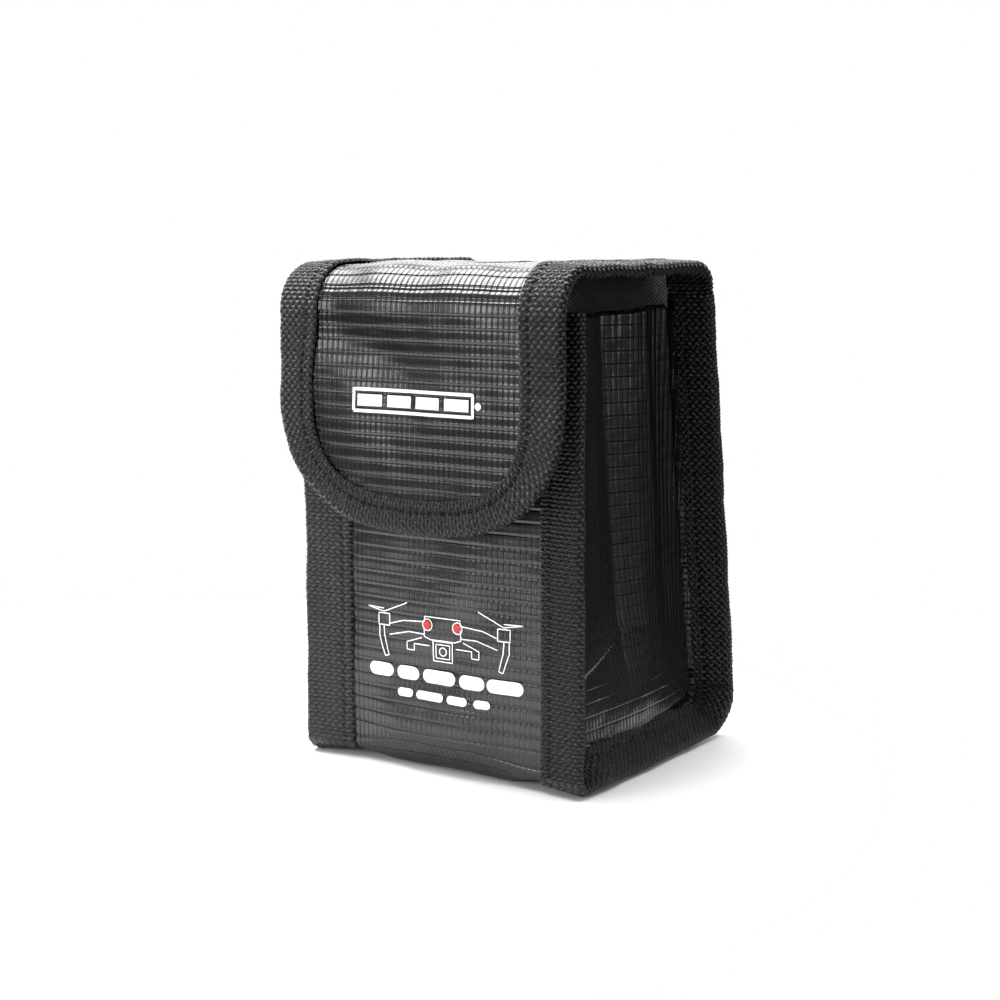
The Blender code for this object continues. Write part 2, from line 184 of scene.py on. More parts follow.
LABEL_ROWS = (
    (21.6, 3.0, ((-15.6, 6.6), (-8.3, 6.0), (0.1, 8.8), (8.9, 6.6), (17.2, 9.0))),
    (17.2, 1.8, ((-8.9, 4.2), (-2.2, 7.4), (5.2, 5.4), (11.6, 4.0))),
)
GAUGE_Z = 81.8
GAUGE_X = -0.4
GAUGE_SIZE = (31.0, 4.6)
GAUGE_LINE = 0.7
CONTACT_X = 16.4
CONTACT_WIDTH = 1.5
CHARGE_X = -11.8
CHARGE_PITCH = 7.6
CHARGE_SIZE = (6.2, 2.5)

# Stage. The camera's and the lights' places are in metres; the floor's, in millimetres. A light is its
# place, what it faces, its size and its power in watts.
CAMERA_PLACE = (0.233, -0.3476, 0.116)
CAMERA_TILT = 82.1
CAMERA_TURN = 33.9
LENS = 66.9
LENS_SHIFT = (-0.016, -0.005)
FLOOR_RADIUS = 180
FLOOR_MIDDLE = (-80, -60)
LIGHTS = {
    "overhead_softbox": ((-0.1, 0.1, 1.1), (0, 0, 0), (1.6, 1.6), 23),
    "high_strip": ((-0.45, 0.05, 0.8), (0, 0, 0.1), (0.6, 0.3), 10),
    "front_softbox": ((-0.36, -0.88, 0.26), (0, 0, 0.07), (0.4, 0.3), 3.8),
    "side_strip": ((0.9, -0.35, 0.3), (0, 0, 0.05), (0.08, 0.5), 1.0),
    "back_softbox": ((-0.6, 0.9, 0.3), (0, 0, 0.1), (1.5, 0.6), 6),
}

X = np.array((1.0, 0.0, 0.0))
Y = np.array((0.0, 1.0, 0.0))
Z = np.array((0.0, 0.0, 1.0))


def unit(vectors):
    """The vectors at length 1."""
    return vectors / np.maximum(np.linalg.norm(vectors, axis=-1, keepdims=True), HAIR)


def turned(first, second, degrees):
    """The direction first, turned towards second."""
    angle = math.radians(degrees)
    return first * math.cos(angle) + second * math.sin(angle)


def between(low, high, share):
    return low + (high - low) * share


def smooth(value):
    value = np.clip(value, 0, 1)
    return value * value * (3 - 2 * value)


def ripple(u, v, wave, seed, count=6):
    """Soft random waves of about the given length, from -1 to 1."""
    rng = np.random.RandomState(seed)
    total = np.zeros(np.broadcast(u, v).shape)
    for _ in range(count):
        angle = rng.uniform(0, math.tau)
        length = wave * rng.uniform(0.7, 1.6)
        phase = rng.uniform(0, math.tau)
        total += np.sin((u * math.cos(angle) + v * math.sin(angle)) * math.tau / length + phase)
    return total / count * 1.6


# The seam line of the right side. A station is (seam point, way out along the fin, tape width).


def back_y(z):
    return FRONT_Y + BASE_DEPTH - BACK_LEAN * z / HEIGHT


def station(out, y, z, width=TAPE_WIDTH):
    return np.array((HALF_WIDTH - width * out[0], y, z)), out, width


def front_seam(z):
    return station(turned(X, -Y, 6), FRONT_Y, z)


def back_seam(z):
    return station(turned(X, Y, between(30, 3, z / HEIGHT)), back_y(z), z)


def bottom_seam(y):
    """The fin under the side: level at the front corner, then turned down on its edge."""
    run = (y - FRONT_Y) / BASE_DEPTH
    drop = between(50, 33, run) * float(smooth((y - FRONT_Y + 1) / 11))
    out = turned(X, -Z, drop)
    rise = math.radians(drop)
    return station(out, y, TAPE_WIDTH * math.sin(rise) + (TAPE_HALF + 0.15) * math.cos(rise))


def roof_seam(y):
    return station(turned(X, -Z, ROOF_DROOP), y, ROOF_Z)


def fold_seam(degrees):
    face = turned(Z, -Y, degrees)
    out = turned(X, -face, ROOF_DROOP * (1 - degrees / 90))
    centre = np.array((0.0, FOLD_Y, FOLD_Z)) + face * FOLD_RADIUS
    return station(out, centre[1], centre[2])


def rounded(first, last, ahead, turn, radius):
    """Stations round a corner, from travel direction ahead to travel direction turn."""
    centre = first[0] + turn * radius
    end = centre + ahead * radius
    made = []
    for k in range(1, ROUND_ROWS + 1):
        share = k / (ROUND_ROWS + 1)
        angle = math.pi / 2 * share
        point = centre - turn * radius * math.cos(angle) + ahead * radius * math.sin(angle)
        point = point + (last[0] - end) * share
        made.append((point, unit(between(first[1], last[1], smooth(share))), TAPE_WIDTH))
    return made


BACK_UP = unit(np.array((0.0, -BACK_LEAN, HEIGHT)))
BOTTOM_FRONT_Z = bottom_seam(FRONT_Y)[0][2]
BOTTOM_BACK_Z = bottom_seam(FRONT_Y + BASE_DEPTH)[0][2]
CORNER_Y = back_y(ROOF_Z)


def body_stations():
    """From the mouth down the front, under the bottom and up the back to just below the roof."""
    front = [front_seam(z) for z in np.linspace(WALL_TOP, CREASE_TOP, WALL_ROWS)]
    crease = np.linspace(CREASE_TOP, BOTTOM_FRONT_Z + FRONT_CORNER, CREASE_ROWS + 1)[1:]
    front += [front_seam(z) for z in crease]
    low_back = back_y(BOTTOM_BACK_Z)
    level = np.linspace(FRONT_Y + FRONT_CORNER, low_back - BACK_CORNER, BOTTOM_ROWS)
    bottom = [bottom_seam(y) for y in level]
    back = [back_seam(z) for z in np.linspace(BOTTOM_BACK_Z + BACK_CORNER, BACK_TOP, WALL_ROWS)]
    first = rounded(front[-1], bottom[0], -Z, Y, FRONT_CORNER)
    second = rounded(bottom[-1], back[0], Y, BACK_UP, BACK_CORNER)
    return front + first + bottom + second + back


def roof_stations(last_y):
    """From just below the roof, round the rear corner and forward to last_y."""
    back = [back_seam(z) for z in np.linspace(BACK_TOP, ROOF_Z - TOP_CORNER, 4)]
    roof = [roof_seam(y) for y in np.linspace(CORNER_Y - TOP_CORNER, last_y, 20)]
    return back + rounded(back[-1], roof[0], BACK_UP, -Y, TOP_CORNER) + roof


def tongue_width(share, left):
    """The tape's width round the tongue, from its side (0) to its tip (1)."""
    side = 9.4 if left else 10.6
    return between(side, 8.0, smooth(share * 1.3))


def tongue_point(share):
    angle = math.pi / 2 * share
    power = 2 / CORNER_POWER
    x = HALF_WIDTH * max(math.cos(angle), 0) ** power
    z = TIP_Z + CORNER_RISE * (1 - math.sin(angle) ** power)
    return np.array((x, FLAP_Y, z))


def flap_stations(first_y, left):
    """From first_y forward over the roof, down the front and round to the tip, on one side."""
    roof = [roof_seam(y) for y in np.linspace(first_y, FOLD_Y, 16)]
    fold = [fold_seam(a) for a in np.linspace(4, 90, 20)]
    side = []
    for z in np.linspace(FOLD_Z, TIP_Z + CORNER_RISE, 12)[1:]:
        share = (FOLD_Z - z) / (FOLD_Z - TIP_Z - CORNER_RISE)
        side.append(station(X, FLAP_Y, z, between(TAPE_WIDTH, tongue_width(0, left), smooth(share))))
    shares = np.linspace(0, 1, 160)
    outline = np.array([tongue_point(s) for s in shares])
    corner = []
    for before, point, after, share in zip(outline, outline[1:], outline[2:], shares[1:]):
        out = unit(np.cross(after - before, Y))
        width = tongue_width(share, left)
        corner.append((point - out * width, out, width))
    made = roof + fold + side + corner
    return mirrored(made) if left else made


def mirrored(stations):
    """The same stations on the left side."""
    return [(p * (-1, 1, 1), o * (-1, 1, 1), w) for p, o, w in stations]


def resampled(stations, step):
    """Even steps along the stations: arrays of seam points, ways out, fin faces, widths and lengths."""
    points = np.array([s[0] for s in stations])
    outs = np.array([s[1] for s in stations])
    widths = np.array([s[2] for s in stations])
    middle = points + outs * widths[:, None] * 0.5
    length = np.concatenate([[0], np.cumsum(np.linalg.norm(np.diff(middle, axis=0), axis=1))])
    at = np.linspace(0, length[-1], max(2, int(round(length[-1] / step)) + 1))
    points = np.stack([np.interp(at, length, points[:, k]) for k in range(3)], axis=1)
    outs = unit(np.stack([np.interp(at, length, outs[:, k]) for k in range(3)], axis=1))
    widths = np.interp(at, length, widths)
    ahead = unit(np.gradient(points + outs * widths[:, None] * 0.5, axis=0))
    faces = unit(np.cross(ahead, outs))
    return points, outs, faces, widths, at


# Meshes


def grid_piece(name, grid, uv, finish, flip=False):
    """A mesh from a grid of points in millimetres, with its own weave coordinates in millimetres."""
    rows, columns = grid.shape[:2]
    index = np.arange(rows * columns).reshape(rows, columns)
    corners = [index[:-1, :-1], index[1:, :-1], index[1:, 1:], index[:-1, 1:]]
    quads = np.stack(corners, axis=-1).reshape(-1, 4)
    if flip:
        quads = quads[:, ::-1]
    return mesh_piece(name, grid.reshape(-1, 3), quads, uv.reshape(-1, 2), finish)


def mesh_piece(name, points, faces, uv, finish):
    mesh = bpy.data.meshes.new(name)
    mesh.from_pydata((points * MM).tolist(), [], faces.tolist())
    layer = mesh.uv_layers.new(name="UVMap")
    corner = np.zeros(len(mesh.loops), np.int32)
    mesh.loops.foreach_get("vertex_index", corner)
    layer.data.foreach_set("uv", uv[corner].astype(np.float32).ravel())
    mesh.polygons.foreach_set("use_smooth", np.ones(len(mesh.polygons), bool))
    mesh.materials.append(finish)
    mesh.update()
    obj = bpy.data.objects.new(name, mesh)
    bpy.context.scene.collection.objects.link(obj)
    return obj


def grid_normals(grid):
    along = np.gradient(grid, axis=0)
    across = np.gradient(grid, axis=1)
    return unit(np.cross(along, across))


def cloth_relief(u, v, rows=1.0, columns=1.0):
    """Height of the coated cloth: on every row a raised thread over a groove, and fine upright grooves."""
    place = np.mod(v, ROW_PITCH)
    ridge = np.exp(-((place - 0.5) / 0.26) ** 2)
    groove = np.exp(-((place - 1.0) / 0.22) ** 2)
    body = np.cos(math.tau * (place - 2.2) / ROW_PITCH)
    upright = np.cos(math.tau * u / COLUMN_PITCH)
    return rows * (0.05 * ridge - 0.12 * groove + 0.008 * body) + 0.026 * columns * upright


def weave_relief(along, across):
    """Height of the tape: yarn floats that lie across it, each lane half a float on from its neighbour."""
    lane = np.floor(along / FLOAT_WIDTH)
    side = along / FLOAT_WIDTH - lane - 0.5
    lean = np.where(np.mod(lane, 2) > 0, FLOAT_LEAN, -FLOAT_LEAN)
    place = np.mod(across / FLOAT_LENGTH + 0.5 * np.mod(lane, 2) + lean * side, 1) - 0.5
    wide = np.clip(1 - (2 * side) ** 2, 0, 1) ** 0.5
    return wide * np.clip(1 - (FLOAT_FILL * place) ** 2, 0, 1) ** 0.5


# Tape


def tape_profile(first, second, reach, rows):
    """The tape's section, from one face over its folded edge to the other: places, then normals."""
    columns = []
    for share in np.linspace(0, 1, FACE_COLUMNS):
        columns.append((between(first, reach, share), TAPE_HALF, 0.0, 1.0))
    for k in range(1, TURN_COLUMNS):
        angle = math.pi * k / TURN_COLUMNS
        columns.append((
            reach + TAPE_HALF * math.sin(angle),
            TAPE_HALF * math.cos(angle),
            math.sin(angle),
            math.cos(angle),
        ))
    for share in np.linspace(1, 0, FACE_COLUMNS):
        columns.append((between(second, reach, share), -TAPE_HALF, 0.0, -1.0))
    return (np.stack([np.broadcast_to(column[k], rows) for column in columns], axis=1) for k in range(4))


def tape_piece(name, stations, seed, flip=False, starts=EVEN_STARTS):
    """Webbing folded over the fins: woven, sewn through near its inner edges, and slightly uneven."""
    points, outs, faces, widths, at = resampled(stations, TAPE_STEP)
    passed = smooth((at / at[-1] - 0.38) / 0.12)
    first, second = (between(start, end, passed) for start, end in starts)
    out, face, out_normal, face_normal = tape_profile(first, second, widths - TAPE_HALF, len(points))
    steps = np.hypot(np.diff(out, axis=1), np.diff(face, axis=1))
    across = np.concatenate([np.zeros((len(points), 1)), np.cumsum(steps, axis=1)], axis=1)
    along = np.repeat(at[:, None], across.shape[1], axis=1)
    edge = out - np.where(face > 0, first[:, None], second[:, None])
    lip = np.clip(edge / 0.45, 0, 1) ** 0.5
    wander = 0.3 * ripple(along, 0 * along, 9, seed)
    stitch = np.exp(-((edge - STITCH_INSET - wander) / 0.32) ** 2)
    pull = (0.5 + 0.5 * np.cos(math.tau * along / STITCH_PITCH)) ** 2
    pucker = np.exp(-((edge - STITCH_INSET) / 1.1) ** 2) * pull
    relief = WEAVE_HEIGHT * weave_relief(along, across) - STITCH_DEPTH * stitch - PUCKER_DEPTH * pucker
    relief = relief + 0.15 * ripple(along, across, 14, seed + 1) + 0.06 * ripple(along, across, 4, seed + 2)
    relief = relief - 0.2
    relief = relief - (1 - lip) * (TAPE_HALF - 0.75)
    sway = 0.35 * ripple(along, 0 * along, 17, seed + 3) * (out / TAPE_WIDTH)
    place = points[:, None] + outs[:, None] * (out + relief * out_normal)[..., None]
    place = place + faces[:, None] * (face + relief * face_normal + sway)[..., None]
    place[..., 2] = np.maximum(place[..., 2], FLOOR_SKIN)
    return grid_piece(name, place, np.stack([along, across], axis=-1), TAPE, flip)


# Cloth


def strip_rows(stations, middles, pulls):
    """Rows of a wall strip. Each runs from the left fin, across the wall's middle, to the right fin."""
    points = np.array([s[0] for s in stations])
    outs = np.array([s[1] for s in stations])
    middles = np.array(middles)
    pulls = np.array(pulls)
    spine = between(points, middles, 0.7)
    length = np.concatenate([[0], np.cumsum(np.linalg.norm(np.diff(spine, axis=0), axis=1))])
    at = np.linspace(0, length[-1], int(round(length[-1] / CLOTH_STEP)) + 1)

    def spread(values):
        return np.stack([np.interp(at, length, values[:, k]) for k in range(values.shape[1])], axis=1)

    return spread(points), unit(spread(outs)), spread(middles), spread(pulls), at


def strip_grid(stations, middles, pulls):
    """The strip's base surface. pulls holds (where the rise starts, its power) for each row."""
    points, outs, middles, pulls, at = strip_rows(stations, middles, pulls)
    x = points[:, :1] * np.linspace(-1, 1, 73)
    start = pulls[:, :1]
    rise = np.clip((np.abs(x) - start) / np.maximum(points[:, :1] - start, HAIR), 0, 1) ** pulls[:, 1:2]
    rise = np.where(pulls[:, 1:2] > 1.9, smooth(rise ** 0.5), rise)
    y = between(middles[:, 1:2], points[:, 1:2], rise)
    z = between(middles[:, 2:3], points[:, 2:3], rise)
    body = np.stack([x, y, z], axis=-1)
    steps = np.linspace(0, FLANGE, 8)[1:]
    right = points[:, None] + outs[:, None] * steps[None, :, None]
    left = (right * (-1, 1, 1))[:, ::-1]
    grid = np.concatenate([left, body, right], axis=1)
    u = np.concatenate([-points[:, :1] - steps[::-1], x, points[:, :1] + steps], axis=1)
    v = np.repeat(at[:, None], grid.shape[1], axis=1)
    return grid, u, v


def dressed(grid, u, v, seed, waves=0.26, extra=0.0):
    """The outer face of the cloth over its base surface."""
    normals = grid_normals(grid)
    relief = cloth_relief(u, v) + waves * ripple(u, v, 22, seed) + 0.06 * ripple(u, v, 9, seed + 1) + extra
    face = grid + normals * (CLOTH_FACE + relief)[..., None]
    face[..., 2] = np.maximum(face[..., 2], FLOOR_SKIN)
    return face


def front_bulge(z):
    """How far the front wall's middle swells out, most just above the bottom crease."""
    belly = 0.9 * math.sin(math.pi * min(max(z / MOUTH, 0), 1))
    return belly + 1.9 * float(smooth((22 - z) / 15)) - 0.3 * float(smooth((7 - z) / 5))


def eased_path(points, radii, count):
    """count points evenly along straight lines through points, each inner corner rounded by its radius."""
    points = [np.array(p, float) for p in points]
    path = [points[0]]
    for before, corner, after, radius in zip(points, points[1:], points[2:], radii):
        first = unit(corner - before)
        second = unit(after - corner)
        for angle in np.linspace(0, math.pi / 2, 16):
            back = first * (radius * (1 - math.sin(angle)))
            path.append(corner - back + second * (radius * (1 - math.cos(angle))))
    path.append(points[-1])
    path = np.array(path)
    length = np.concatenate([[0], np.cumsum(np.linalg.norm(np.diff(path, axis=0), axis=1))])
    at = np.linspace(0, length[-1], count + 2)[1:-1]
    return [tuple(np.interp(place, length, path[:, k]) for k in range(3)) for place in at]


def body_middles():
    """The wall's middle line beside the body stations, with the pull of each row."""
    front_z = np.linspace(WALL_TOP, CREASE_TOP, WALL_ROWS)
    middles = [(0, FRONT_Y - front_bulge(z), z) for z in front_z]
    pulls = [FACE_PULL] * WALL_ROWS
    ahead = (0, FRONT_Y + FRONT_CORNER + 4, BASE_Z)
    crease = (0, FRONT_Y - 0.5, FOLD_LINE)
    under = (0, FRONT_Y + 2.4, BASE_Z + 0.2)
    turn = CREASE_ROWS + ROUND_ROWS
    middles += eased_path([middles[-1], crease, under, ahead], (0.9, 1.2), turn)
    starts = FACE_PULL[0], FLOOR_PULL[0]
    power = FACE_PULL[1]
    pulls += [(between(*starts, smooth((k + 1) / (turn + 1))), power) for k in range(turn)]
    low_back = back_y(BACK_CORNER)
    behind = low_back - BACK_CORNER - 6
    middles += [(0, y, BASE_Z) for y in np.linspace(ahead[1], behind, BOTTOM_ROWS)]
    pulls += [FLOOR_PULL] * BOTTOM_ROWS
    top = BOTTOM_BACK_Z + BACK_CORNER
    heel = (0, back_y(BASE_Z), BASE_Z)
    turn = ROUND_ROWS
    middles += eased_path([middles[-1], heel, (0, back_y(top), top)], (BACK_FOLD,), turn)
    pulls += [(between(*starts[::-1], smooth((k + 1) / (turn + 1))), power) for k in range(turn)]
    middles += [(0, back_y(z), z) for z in np.linspace(top, BACK_TOP, WALL_ROWS)]
    pulls += [FACE_PULL] * WALL_ROWS
    return middles, pulls


def tongue_half(z):
    """Half the width of the tongue's cloth, whose edge lies inside the tape."""
    drop = max(0.0, (TIP_Z + CORNER_RISE - z) / (CORNER_RISE - 1.5))
    return (HALF_WIDTH - 1.5) * max(0.0, 1 - drop ** CORNER_POWER) ** (1 / CORNER_POWER)


def tongue_grid():
    """The flap's front part: rows that follow the roof and the fold, then narrow to the rounded tip."""
    path = [(y, ROOF_Z) for y in np.linspace(SPLIT_Y, FOLD_Y, 30)]
    for degrees in np.linspace(3, 90, 40):
        angle = math.radians(degrees)
        path.append((FOLD_Y - FOLD_RADIUS * math.sin(angle), FOLD_Z + FOLD_RADIUS * math.cos(angle)))
    path.append((FLAP_Y, TIP_Z + 1.7))
    path = np.array(path)
    length = np.concatenate([[0], np.cumsum(np.linalg.norm(np.diff(path, axis=0), axis=1))])
    at = np.linspace(0, length[-1], int(round(length[-1] / FLAP_STEP)) + 1)
    y = np.interp(at, length, path[:, 0])
    z = np.interp(at, length, path[:, 1])
    on_tongue = at > length[-2]
    half = np.array([tongue_half(h) if low else HALF_WIDTH - 5 for h, low in zip(z, on_tongue)])
    share = smooth((z - FOLD_Z + 6) / 6)
    half = np.where(on_tongue, between(half, HALF_WIDTH - 5, share), half)
    x = half[:, None] * np.linspace(-1, 1, 97)
    turn = np.clip((z - FOLD_Z) / FOLD_RADIUS, 0, 1)
    degrees = np.where(on_tongue, 90.0, np.degrees(np.arccos(turn)))
    droop = np.tan(np.radians(ROOF_DROOP * (1 - degrees / 90)))
    seam = HALF_WIDTH - TAPE_WIDTH * np.cos(np.radians(ROOF_DROOP * (1 - degrees / 90)))
    sag = np.maximum(np.abs(x) - seam[:, None], 0) * droop[:, None]
    face_y = -np.sin(np.radians(degrees))
    face_z = np.cos(np.radians(degrees))
    grid = np.stack([x, y[:, None] - sag * face_y[:, None], z[:, None] - sag * face_z[:, None]], axis=-1)
    return grid, x, np.repeat(at[:, None], x.shape[1], axis=1)


def fold_stitching(u, v):
    """The line sewn across the flap's fold, with the cloth drawn in at each stitch, a dent and a swell."""
    groove = np.exp(-((v - FOLD_SEAM) / 0.34) ** 2)
    drawn = np.exp(-((v - FOLD_SEAM - 0.9) / 0.6) ** 2) * (0.5 + 0.5 * np.cos(math.tau * u / DRAWN_PITCH))
    below = v - FOLD_SEAM
    dent = np.exp(-(((u + 15) / 13) ** 2 + ((below - 15 - 0.25 * u) / 6) ** 2))
    swell = np.exp(-(((u - 12) / 10) ** 2 + ((below - 24) / 8) ** 2))
    return 0.22 * drawn - 0.24 * groove - 1.1 * dent + 0.6 * swell


def gusset_depth(share, z):
    """How far the gusset lies inside the plane of its seams."""
    fine = np.linspace(0, 1, 201)
    kernel = np.exp(-np.linspace(-2, 2, 9) ** 2)
    kernel /= kernel.sum()

    def eased(values, places):
        line = np.interp(fine, GUSSET_PLACES, values)
        padded = np.concatenate([np.full(4, line[0]), line, np.full(4, line[-1])])
        return np.interp(places, fine, np.convolve(padded, kernel, mode="valid"))

    above = np.clip((z - APEX_Z) / (MOUTH - APEX_Z), 0, 1) ** 0.6
    below = smooth((APEX_Z - z) / 18)
    moved = share ** between(1.0, MOUTH_SHIFT, above)
    upper = between(eased(GUSSET_APEX, moved), eased(GUSSET_MOUTH, moved), above)
    return between(upper, eased(GUSSET_BASE, share), below)


def gusset_folds(y, z):
    """Creases that run from the apex down to the bottom corners, and the pleats that fan out below them."""
    apex_y = 0.5 * (FRONT_Y + back_y(APEX_Z)) + 1.0
    left = ((z - 20.5) - (y - FRONT_Y - 2) * (APEX_Z - 20.5) / (apex_y - FRONT_Y - 2)) * 0.9
    right = ((z - 9) - (back_y(9) - 3 - y) * (APEX_Z - 9) / (back_y(9) - 3 - apex_y)) * 0.8
    low = smooth((APEX_Z + 1 - z) / 3)
    on_left = low * np.exp(-(left / 0.7) ** 2) * smooth((apex_y + 1 - y) / 2)
    on_right = low * np.exp(-(right / 0.8) ** 2) * smooth((y - apex_y + 1) / 2)
    inside = smooth(-left / 2) * smooth(-right / 2)
    step = 0.3 * inside
    fan = np.cos(math.tau * (y - apex_y * 0.2) / (1.5 + 0.012 * (z - 10)))
    return 0.55 * on_left + 0.25 * on_right + step + 0.02 * fan * inside


def gusset_pleats(y, z, share):
    """Fine upright pleats on the leaf behind the crease, which gather towards the mouth."""
    leaf = smooth((share - 0.56) / 0.05) * smooth((0.84 - share) / 0.08)
    lift = smooth((z - APEX_Z - 4) / 20)
    gather = smooth((z - MOUTH + 14) / 14)
    wave = np.cos(math.tau * (share * 26 + 0.6 * np.sin(z * 0.09)))
    return leaf * lift * (0.05 + 0.12 * gather) * wave


def gusset_grid():
    """The gusset between its seams: rows from the mouth down, columns from front to back."""
    rows = int((MOUTH - 8) / GUSSET_STEP)
    columns = int(BASE_DEPTH / GUSSET_STEP)
    share = np.linspace(0, 1, columns)[None, :]
    down = np.linspace(0, 1, rows)[:, None]
    floor = between(BOTTOM_FRONT_Z, BOTTOM_BACK_Z, share)
    sag = 1.2 * np.sin(math.pi * share) ** 2 * (1 - down) ** 6
    z = between(MOUTH - 0.4, floor, down) - sag
    y = FRONT_Y + share * (back_y(z) - FRONT_Y)
    x_front = front_seam(50)[0][0]
    x_back = np.array([back_seam(h)[0][0] for h in np.linspace(0, HEIGHT, 57)])
    x = between(x_front, np.interp(z, np.linspace(0, HEIGHT, 57), x_back), share)
    x_low = np.array([bottom_seam(h)[0][0] for h in np.linspace(FRONT_Y, FRONT_Y + BASE_DEPTH, 40)])
    x = between(x, np.interp(y, np.linspace(FRONT_Y, FRONT_Y + BASE_DEPTH, 40), x_low), down ** 4)
    for centre_y, centre_z, radius, way in (
        (FRONT_Y + FRONT_CORNER, BOTTOM_FRONT_Z + FRONT_CORNER, FRONT_CORNER, -1),
        (back_y(BOTTOM_BACK_Z) - BACK_CORNER, BOTTOM_BACK_Z + BACK_CORNER, BACK_CORNER, 1),
    ):
        dy = (y - centre_y) * way
        dz = centre_z - z
        inside = (dy > 0) & (dz > 0)
        scale = np.where(inside, np.maximum(dy, dz) / np.maximum(np.hypot(dy, dz), HAIR), 1)
        y = centre_y + (y - centre_y) * scale
        z = centre_z - (centre_z - z) * scale
    ease = smooth(np.minimum(share, 1 - share) / 0.04) * smooth((1 - down) / 0.04)
    outward = -gusset_depth(share, z) + gusset_folds(y, z) * ease + gusset_pleats(y, z, share)
    grid = np.stack([x + outward * smooth((1 - down) / 0.03), y, z], axis=-1)
    u = y - FRONT_Y
    v = MOUTH - z
    return grid, u, v


def gusset_with_flange(grid, u, v, stations):
    """Adds the strip of cloth that turns out into the fins at the front, bottom and back edges."""
    points, outs, faces, _, _ = resampled(stations, 0.5)

    def flange(border):
        near = np.argmin(np.linalg.norm(border[:, None, 1:] - points[None, :, 1:], axis=-1), axis=1)
        return [points[near] + outs[near] * s - faces[near] * CLOTH_FACE * 1.2 for s in FLANGE_STEPS]

    front = np.stack(flange(grid[:, 0])[::-1], axis=1)
    back = np.stack(flange(grid[:, -1]), axis=1)
    wide = np.concatenate([front, grid[:, 1:-1], back], axis=1)
    tall = np.concatenate([wide, np.stack(flange(wide[-1])[1:], axis=0)], axis=0)
    steps = np.array(FLANGE_STEPS)
    count = len(steps)
    u_wide = np.concatenate([u[:, :1] - steps[::-1], u[:, 1:-1], u[:, -1:] + steps], axis=1)
    v_ends = [np.repeat(v[:, k], count, 1) for k in (slice(0, 1), slice(-1, None))]
    v_wide = np.concatenate([v_ends[0], v[:, 1:-1], v_ends[1]], axis=1)
    u_tall = np.concatenate([u_wide, np.repeat(u_wide[-1:], count - 1, 0)], axis=0)
    v_tall = np.concatenate([v_wide, v_wide[-1:] + steps[1:, None]], axis=0)
    return tall, u_tall, v_tall


def rolled_top(grid, u, v, seed):
    """The gusset's outer face, rolled over its top edge into a narrow hem."""
    normals = grid_normals(grid)
    fine = 0.03 * ripple(u, v, 5, seed) + 0.10 * ripple(u, v, 16, seed + 1)
    face = grid + normals * (CLOTH_FACE + cloth_relief(u, v, 0.04, 1.6) + fine)[..., None]
    top = grid[0]
    side = normals[0]
    roll = []
    for angle in np.linspace(-math.pi / 2, 0, 5):
        roll.append(top + side * HEM * math.sin(angle) + Z * HEM * math.cos(angle))
    inner = [top - side * HEM - Z * drop for drop in (5.0, 3.0, 1.0)]
    hem = np.stack(inner + roll[:-1], axis=0)
    lengths = np.linspace(-9, -0.4, len(hem))[:, None]
    return (
        np.concatenate([hem, face], axis=0),
        np.concatenate([np.repeat(u[:1], len(hem), 0), u], axis=0),
        np.concatenate([np.repeat(v[:1], len(hem), 0) + lengths, v], axis=0),
    )


# Materials


def linear(code):
    """The linear colour of an sRGB hex value."""
    values = [int(code[k : k + 2], 16) / 255 for k in (1, 3, 5)]
    return (*[v / 12.92 if v <= 0.04045 else ((v + 0.055) / 1.055) ** 2.4 for v in values], 1)


def add(tree, kind, settings, inputs=()):
    """Adds one node with its settings. inputs feeds its sockets in order, or by number or name in a dict."""
    node = tree.nodes.new(kind)
    for key, value in settings.items():
        setattr(node, key, value)
    for key, value in inputs.items() if isinstance(inputs, dict) else enumerate(inputs):
        if isinstance(value, bpy.types.Node):
            value = value.outputs[0]
        if isinstance(value, bpy.types.NodeSocket):
            tree.links.new(value, node.inputs[key])
        else:
            node.inputs[key].default_value = value
    return node


MATH = "ShaderNodeMath"
RANGE = "ShaderNodeMapRange"
ADDED = {"operation": "ADD"}
LESS = {"operation": "SUBTRACT"}
TIMES = {"operation": "MULTIPLY"}
TIMES_PLUS = {"operation": "MULTIPLY_ADD"}
LARGER = {"operation": "MAXIMUM"}
SQUARED = {"operation": "POWER"}
SIZE_OF = {"operation": "ABSOLUTE"}
EASED = {"interpolation_type": "SMOOTHSTEP"}


def new_material(name, colour, roughness):
    """A material of one colour and roughness, with its nodes and its shader."""
    made = bpy.data.materials.new(name)
    made.use_nodes = True
    tree = made.node_tree
    shader = tree.nodes["Principled BSDF"]
    shader.inputs["Base Color"].default_value = linear(colour)
    shader.inputs["Roughness"].default_value = roughness
    return made, tree, shader


def uv_axes(tree):
    """The piece's own weave coordinates, in millimetres."""
    coordinates = add(tree, "ShaderNodeUVMap", {"uv_map": "UVMap"})
    split = add(tree, "ShaderNodeSeparateXYZ", {}, [coordinates])
    return split.outputs[0], split.outputs[1]


def lines(tree, coordinate, pitch, centre, half):
    """1 on lines across a coordinate at every pitch, fading to 0 at half a line's width, in millimetres."""
    shifted = add(tree, MATH, LESS, [coordinate, centre])
    swing = add(tree, MATH, {"operation": "PINGPONG"}, [shifted, pitch / 2])
    return add(tree, RANGE, EASED, [swing, 0.0, half, 1.0, 0.0])


def dress(tree, shader, height, shade, low, high, depth=MM):
    """Gives the shader a bump from height, and a colour from low to high by shade, which paints shade into
    the weave's grooves and gaps.
    """
    bump = add(tree, "ShaderNodeBump", {}, {"Strength": 1.0, "Distance": depth, "Height": height})
    tree.links.new(bump.outputs[0], shader.inputs["Normal"])
    mixed = add(tree, "ShaderNodeMix", {"data_type": "RGBA"}, {0: shade, 6: linear(low), 7: linear(high)})
    tree.links.new(mixed.outputs[2], shader.inputs["Base Color"])


